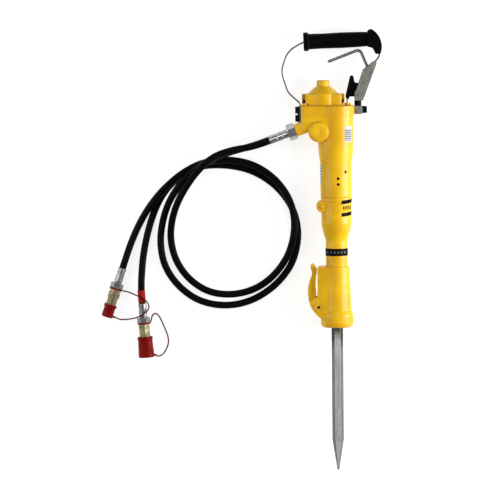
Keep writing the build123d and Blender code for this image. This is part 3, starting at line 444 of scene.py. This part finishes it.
PORT_ANGLE = math.radians(20.4)
PORT_DIR = (-math.cos(PORT_ANGLE), -math.sin(PORT_ANGLE))
PORT_FACE = (-87.8, -21.1)         # millimetres, like the routes and values below
PORT_HIGH = 53.0                   # height of hose A's port
PORT_LOW = 19.0                    # height of hose B's port
HOSE_EXIT = 61.0                   # from the port's face to the end of the ferrule
HOSE_FLOOR = 7.8                   # a centreline's height where it lies on the floor
HOSE_DIAMETER = 15.4
STRAIGHT_RUN = 38                  # from the ferrule before a hose may bend
LANYARD_FLOOR = 1.6
LANYARD_DIAMETER = 3.0
TAIL_DROP = 4.0                    # a cap's tail below its coupling's axis
COUPLING_A = (-471.9, -323.0, 15.8)
COUPLING_B = (-429.4, -401.0, 18.2)
DIR_A = (-0.3190, -0.9478)
DIR_B = (0.0698, -0.9976)


def port_point(distance, height):
    """Point on a hose port's axis, in millimetres."""
    return (PORT_FACE[0] + PORT_DIR[0] * distance, PORT_FACE[1] + PORT_DIR[1] * distance, height)


def beside(start, direction, along, right, height):
    """Point beside a coupling: along it, to its right in plan, and at a height, in millimetres."""
    return (start[0] + direction[0] * along - direction[1] * right,
            start[1] + direction[1] * along + direction[0] * right, height)


HOSE_A_ROUTE = [
    port_point(HOSE_EXIT, PORT_HIGH), port_point(HOSE_EXIT + STRAIGHT_RUN, PORT_HIGH),
    (-229, -62, 54), (-272, -77, 57), (-306, -109, 57), (-331, -144, 51), (-351, -181, 38),
    (-363, -222, 21), (-366, -262, 9.5), (-355, -308, HOSE_FLOOR), (-328, -348, HOSE_FLOOR),
    (-286, -378, HOSE_FLOOR), (-234, -386, HOSE_FLOOR), (-183, -375, HOSE_FLOOR), (-142, -348, 9),
    (-110.5, -307, 19), (-95, -264, 29), (-91, -221, 33), (-99, -180, 33), (-121, -142, 28),
    (-153, -112, 24), (-193, -91.5, 22), (-243, -84, 22), (-294, -90, 25),
    (-340, -114, 27), (-382, -150.5, 25.5), (-413, -189.5, 17), (-437, -231, HOSE_FLOOR),
    (-454.5, -272, 10.5), beside(COUPLING_A, DIR_A, -20, 0, COUPLING_A[2]), COUPLING_A]

HOSE_B_ROUTE = [
    port_point(HOSE_EXIT, PORT_LOW), port_point(HOSE_EXIT + STRAIGHT_RUN, PORT_LOW),
    (-230, -66.5, 32), (-276, -83.5, 40.5), (-315, -110, 41), (-346, -141, 34), (-370, -180, 21),
    (-384, -225, 10), (-389, -272, HOSE_FLOOR), (-379, -323, HOSE_FLOOR), (-348, -367, HOSE_FLOOR),
    (-304, -399, HOSE_FLOOR), (-246, -410.5, HOSE_FLOOR), (-189, -400, HOSE_FLOOR),
    (-138, -368.5, HOSE_FLOOR), (-102, -326, HOSE_FLOOR), (-87, -285, HOSE_FLOOR), (-83, -240, HOSE_FLOOR),
    (-95, -193, HOSE_FLOOR), (-124, -151.5, HOSE_FLOOR), (-159, -123.5, HOSE_FLOOR),
    (-197, -105.5, HOSE_FLOOR), (-247, -96.5, HOSE_FLOOR), (-299, -98.5, HOSE_FLOOR),
    (-344, -120, HOSE_FLOOR), (-377.5, -154, HOSE_FLOOR), (-398, -191, HOSE_FLOOR),
    (-412, -231, HOSE_FLOOR), (-421.5, -270, HOSE_FLOOR), (-427, -303, 9), (-430, -336, 14.5),
    beside(COUPLING_B, DIR_B, -32, 0, COUPLING_B[2]), COUPLING_B]

LANYARD_A_ROUTE = [
    beside(COUPLING_A, DIR_A, 109, 18.4, COUPLING_A[2] - TAIL_DROP), (-479.5, -438, 6),
    (-467, -437.8, LANYARD_FLOOR), (-455, -436, 8), (-446, -433, 23), (-437, -429, 31.5),
    (-424, -422.5, 31.5), (-414.5, -413, 24), (-415, -401.5, 22), (-423, -391.5, 31), (-438.5, -383.5, 31),
    (-452, -378, 20), (-463.5, -374.5, 14), beside(COUPLING_A, DIR_A, 47.7, 14.2, 13)]

LANYARD_B_ROUTE = [
    beside(COUPLING_B, DIR_B, 44.2, 14.2, 14), (-410, -438, 9), (-408.5, -430.5, 4.5),
    (-403.5, -424.7, 1.8), (-396.5, -426, LANYARD_FLOOR), (-391, -434, LANYARD_FLOOR),
    (-385, -447, LANYARD_FLOOR), (-377.5, -465, LANYARD_FLOOR), (-372.5, -481, LANYARD_FLOOR),
    (-373.5, -496, LANYARD_FLOOR), (-380.5, -510.5, 2.5), (-388.5, -518.5, 6), (-396, -519.5, 10.5),
    beside(COUPLING_B, DIR_B, 117.5, 19.6, COUPLING_B[2] - TAIL_DROP)]


def curve_along(name, points, diameter):
    """Smooth curve with the route's points, in millimetres, as its control points."""
    data = bpy.data.curves.new(name, "CURVE")
    data.dimensions = "3D"
    spline = data.splines.new("NURBS")
    spline.points.add(len(points) - 1)
    for target, point in zip(spline.points, points):
        target.co = (*[value * MM for value in point], 1.0)
    spline.order_u = 3
    spline.use_endpoint_u = True
    spline.resolution_u = 12
    data.bevel_depth = diameter * MM / 2
    data.bevel_resolution = 8
    data.use_fill_caps = True
    obj = bpy.data.objects.new(name, data)
    bpy.context.collection.objects.link(obj)
    return obj


def hose(name, points, node):
    """Free hose in place of its CAD solid."""
    obj = curve_along(name, points, HOSE_DIAMETER)
    obj.data.materials.append(HOSE)
    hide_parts(node)
    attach(obj, "hammer")


hose("hose_cover_a", HOSE_A_ROUTE, "hose_a")
hose("hose_cover_b", HOSE_B_ROUTE, "hose_b")


def centreline(name, points):
    """Points of a route's smooth curve, in metres."""
    guide = curve_along(name, points, 0)
    mesh = bpy.data.meshes.new_from_object(guide)
    line = [vertex.co.copy() for vertex in mesh.vertices]
    bpy.data.objects.remove(guide)
    bpy.data.meshes.remove(mesh)
    return line


def skin_rings(mesh, rings):
    """Joins rings of vertices into a closed skin."""
    sides = len(rings[0])
    for first, second in zip(rings, rings[1:]):
        for step in range(sides):
            after = (step + 1) % sides
            mesh.faces.new((first[step], first[after], second[after], second[step]))
    mesh.faces.new(list(reversed(rings[0])))
    mesh.faces.new(rings[-1])


def mesh_object(name, mesh):
    """Makes an object of a finished bmesh, with its faces turned outwards."""
    bmesh.ops.recalc_face_normals(mesh, faces=mesh.faces)
    data = bpy.data.meshes.new(name)
    mesh.to_mesh(data)
    mesh.free()
    obj = bpy.data.objects.new(name, data)
    bpy.context.collection.objects.link(obj)
    return obj


def tube_along(name, line, radius, sides=12):
    """Closed mesh tube round a line of points."""
    mesh = bmesh.new()
    rings = []
    normal = Vector((0, 0, 1))
    for index, point in enumerate(line):
        ahead = line[min(index + 1, len(line) - 1)]
        behind = line[max(index - 1, 0)]
        tangent = (ahead - behind).normalized()
        normal = (normal - tangent * normal.dot(tangent)).normalized()
        side = tangent.cross(normal)
        ring = []
        for step in range(sides):
            angle = 2 * math.pi * step / sides
            spoke = math.cos(angle) * normal + math.sin(angle) * side
            ring.append(mesh.verts.new(point + radius * spoke))
        rings.append(ring)
    skin_rings(mesh, rings)
    obj = mesh_object(name, mesh)
    for polygon in obj.data.polygons:
        polygon.use_smooth = len(polygon.vertices) == 4
    return obj


def lanyard(name, points, node):
    """Thin red cord of a dust cap."""
    line = centreline(name + "_line", points)
    obj = tube_along(name, line, LANYARD_DIAMETER * MM / 2)
    obj.data.materials.append(LANYARD_PLASTIC)
    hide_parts(node)
    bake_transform(obj)


lanyard("lanyard_cord_a", LANYARD_A_ROUTE, "lanyard_a")
lanyard("lanyard_cord_b", LANYARD_B_ROUTE, "lanyard_b")


# ---------------------------------------------------------------- round plug

PLUG_NECK_RADIUS = 15.8
PLUG_NECK_LENGTH = 6.2             # from the top down to the head's underside
SHARP_EDGE = math.radians(40)


def lathe(name, centre, profile, sides=72):
    """Closed turned mesh about a line parallel to Z, from points of (radius, height) in millimetres."""
    mesh = bmesh.new()
    rings = []
    for radius, height in profile:
        ring = []
        for step in range(sides):
            turn = 2 * math.pi * step / sides
            x = centre[0] + radius * math.cos(turn)
            y = centre[1] + radius * math.sin(turn)
            ring.append(mesh.verts.new(MM * Vector((x, y, height))))
        rings.append(ring)
    skin_rings(mesh, rings)
    obj = mesh_object(name, mesh)
    for polygon in obj.data.polygons:
        polygon.use_smooth = True
    obj.data.set_sharp_from_angle(angle=SHARP_EDGE)
    return obj


def round_plug():
    """Domed screw plug with a soft shoulder and a shallow turning mark at its middle."""
    low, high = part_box("side_plug")
    centre = [(low[0] + high[0]) / 2 / MM, (low[1] + high[1]) / 2 / MM]
    radius = (high[0] - low[0]) / 2 / MM
    foot = low[2] / MM
    top = high[2] / MM
    neck = [(PLUG_NECK_RADIUS, foot), (PLUG_NECK_RADIUS, top - PLUG_NECK_LENGTH)]
    rim = [(radius, top - 6.0), (radius, top - 3.4)]
    dome = [(radius - 0.5, top - 2.2), (radius - 1.6, top - 1.2), (radius - 3.4, top - 0.6),
            (radius - 7, top - 0.2)]
    mark = [(2.2, top), (1.6, top - 0.35), (0.4, top - 0.6)]
    obj = lathe("round_plug", centre, neck + rim + dome + mark)
    obj.data.materials.append(PAINT)
    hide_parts("side_plug")
    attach(obj, "hammer")


round_plug()


# ---------------------------------------------------------------- labels

AXIS = Vector((0, 0, 36)) * MM     # the tool's axis runs along Y through this point
LABEL_STEPS = 24
LABEL_UNDERSIDE = 0.05             # millimetres above the casting
LABEL_TOP = 0.25


def wrapped_label(name, material, radius, turn, span, low, high, slant=0.0, cone=0.0):
    """Thin label laid on a round casting: angles in degrees from +X, Y range and radius in millimetres.
    slant shifts Y along the turn, and cone is how much the radius shrinks from high to low."""
    mesh = bmesh.new()
    rows = []
    for layer in (LABEL_UNDERSIDE, LABEL_TOP):
        for y, shrink in ((low, cone), (high, 0.0)):
            row = []
            for step in range(LABEL_STEPS + 1):
                share = step / LABEL_STEPS
                angle = math.radians(turn + span * (share - 0.5))
                reach = radius + layer - shrink
                shift = slant * (0.5 - share)
                place = Vector((reach * math.cos(angle), y + shift, reach * math.sin(angle)))
                row.append(mesh.verts.new(AXIS + MM * place))
            rows.append(row)
    under_low, under_high, over_low, over_high = rows
    faces = ((under_high, under_low), (over_low, over_high), (under_low, over_low), (over_high, under_high))
    for first, second in faces:
        for step in range(LABEL_STEPS):
            mesh.faces.new((first[step], first[step + 1], second[step + 1], second[step]))
    for end in (0, LABEL_STEPS):
        mesh.faces.new((under_low[end], under_high[end], over_high[end], over_low[end]))
    obj = mesh_object(name, mesh)
    obj.data.materials.append(material)
    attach(obj, "hammer")


GREY_PRINT = printed("white_label", (0.50, 0.51, 0.56), (0.05, 0.05, 0.06), along=1, repeat=230, width=0.42,
                     within=(1, -0.043, -0.018))
BLACK_PRINT = printed("black_label", (0.003, 0.003, 0.003), (0.05, 0.045, 0.04), along=1, repeat=400,
                      width=0.0)
DASH_PRINT = printed("dash_label", YELLOW, (0.012, 0.010, 0.008), along=0, repeat=210, width=0.62,
                     within=(1, -0.1945, -0.1870))
BLUE_PRINT = printed("blue_label", (0.50, 0.55, 0.66), (0.08, 0.14, 0.30), along=1, repeat=160, width=0.35)

wrapped_label("side_label", GREY_PRINT, radius=39.5, turn=46, span=31, low=-46, high=-12)
wrapped_label("upper_stripe", BLACK_PRINT, radius=34.3, turn=35, span=72, low=-181.4, high=-173.0, slant=3,
              cone=1.0)
wrapped_label("lower_stripe", BLACK_PRINT, radius=33.0, turn=35, span=72, low=-208.6, high=-200.4, slant=3)
wrapped_label("dash_label", DASH_PRINT, radius=33.0, turn=35, span=66, low=-198.0, high=-184.0, slant=3)
wrapped_label("small_mark", BLACK_PRINT, radius=34.5, turn=54, span=9, low=-115, high=-109)
wrapped_label("flank_label", BLUE_PRINT, radius=34.5, turn=171, span=26, low=-136, high=-98)
